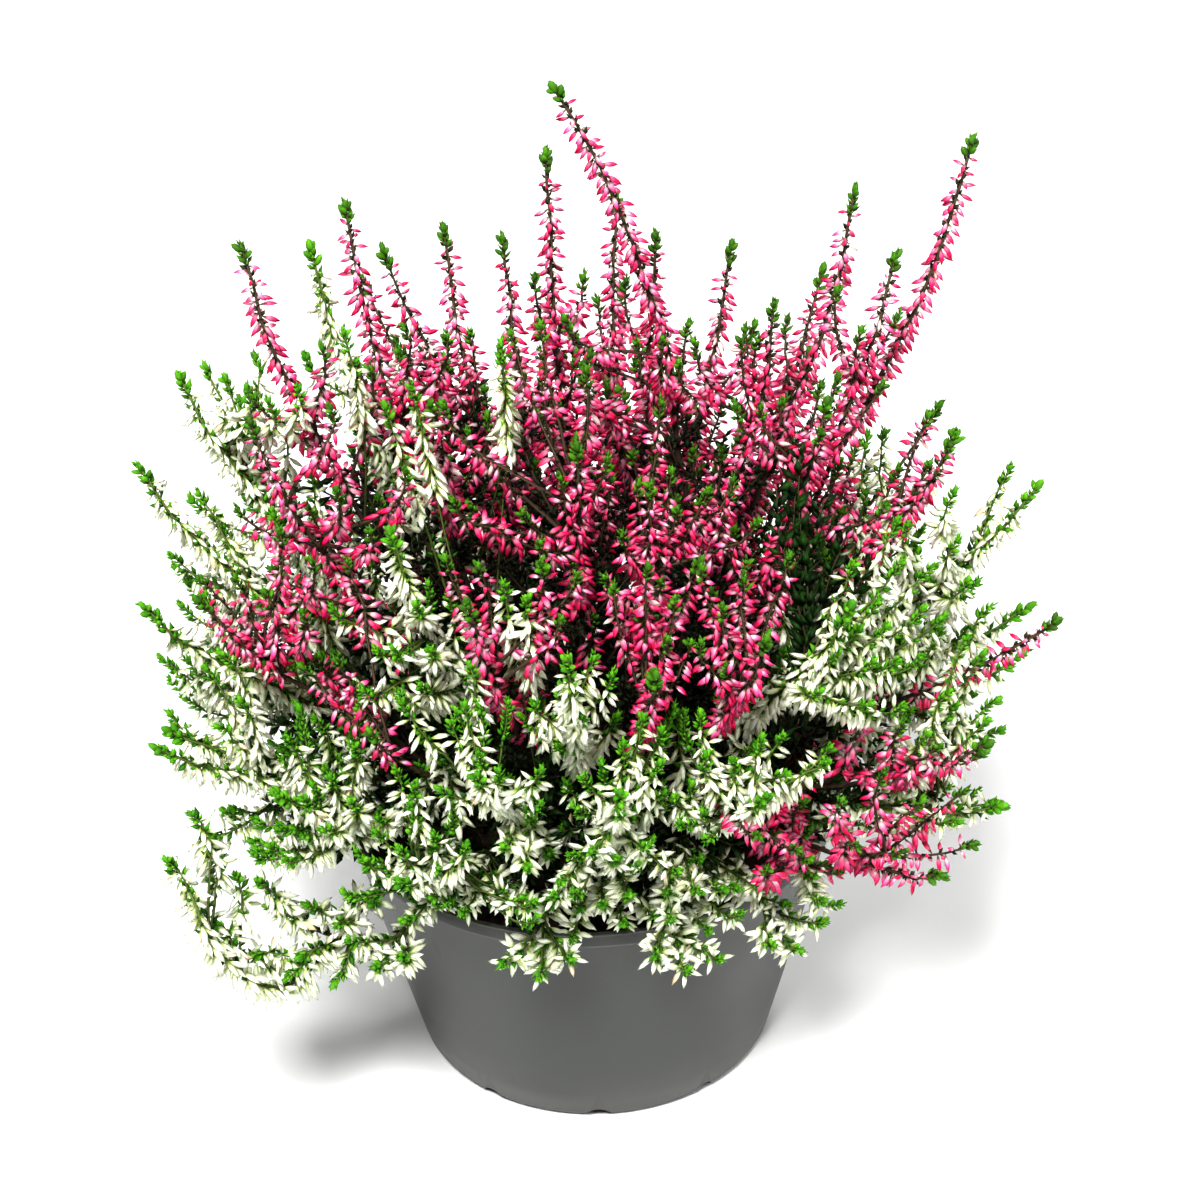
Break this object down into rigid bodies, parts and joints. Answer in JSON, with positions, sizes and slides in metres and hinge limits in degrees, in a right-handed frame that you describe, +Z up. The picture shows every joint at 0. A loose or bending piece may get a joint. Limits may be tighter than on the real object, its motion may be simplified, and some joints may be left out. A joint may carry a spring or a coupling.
{
  "type": "potted heather",
  "caption": "Pink and white flowering heathers growing together as one bushy plant in a round plastic bowl pot.",
  "frame": {"origin": "middle of the pot's flat base, on the surface that it stands on", "axes": "+Z up out of the pot, -Y to the front of the plant, +X to the viewer's right when facing the front"},
  "size_m": [0.2959, 0.2887, 0.3519],
  "materials": {
    "pot": "satin",
    "peat": "matte",
    "stem": "matte",
    "foliage": "satin",
    "pink_flower": "satin",
    "white_flower": "satin"
  },
  "bodies": {
    "root": {"peat": "peat", "pink_shoot_01": "pink_flower", "pink_shoot_02": "pink_flower", "pink_shoot_03": "pink_flower", "pink_shoot_04": "pink_flower", "pink_shoot_05": "pink_flower", "pink_shoot_06": "pink_flower", "pink_shoot_07": "pink_flower", "pink_shoot_08": "pink_flower", "pink_shoot_09": "pink_flower", "pink_shoot_10": "pink_flower", "pink_shoot_11": "pink_flower", "pink_shoot_12": "pink_flower", "pink_shoot_13": "pink_flower", "pink_shoot_14": "pink_flower", "pink_shoot_15": "pink_flower", "pink_shoot_16": "pink_flower", "pink_shoot_17": "pink_flower", "pink_shoot_18": "pink_flower", "pink_shoot_19": "pink_flower", "pink_shoot_20": "pink_flower", "pink_shoot_21": "pink_flower", "pink_shoot_22": "pink_flower", "pink_shoot_23": "pink_flower", "pink_shoot_24": "pink_flower", "pink_shoot_25": "pink_flower", "pink_shoot_26": "pink_flower", "pink_shoot_27": "pink_flower", "pink_shoot_28": "pink_flower", "pink_shoot_29": "pink_flower", "pink_shoot_30": "pink_flower", "pot": "pot", "white_shoot_01": "white_flower", "white_shoot_02": "white_flower", "white_shoot_03": "white_flower", "white_shoot_04": "white_flower", "white_shoot_05": "white_flower", "white_shoot_06": "white_flower", "white_shoot_07": "white_flower", "white_shoot_08": "white_flower", "white_shoot_09": "white_flower", "white_shoot_10": "white_flower", "white_shoot_11": "white_flower", "white_shoot_12": "white_flower", "white_shoot_13": "white_flower", "white_shoot_14": "white_flower", "white_shoot_15": "white_flower", "white_shoot_16": "white_flower", "white_shoot_17": "white_flower", "white_shoot_18": "white_flower", "white_shoot_19": "white_flower", "white_shoot_20": "white_flower", "white_shoot_21": "white_flower", "white_shoot_22": "white_flower", "white_shoot_23": "white_flower", "white_shoot_24": "white_flower", "white_shoot_25": "white_flower", "white_shoot_26": "white_flower", "white_shoot_27": "white_flower"}
  },
  "joints": []
}
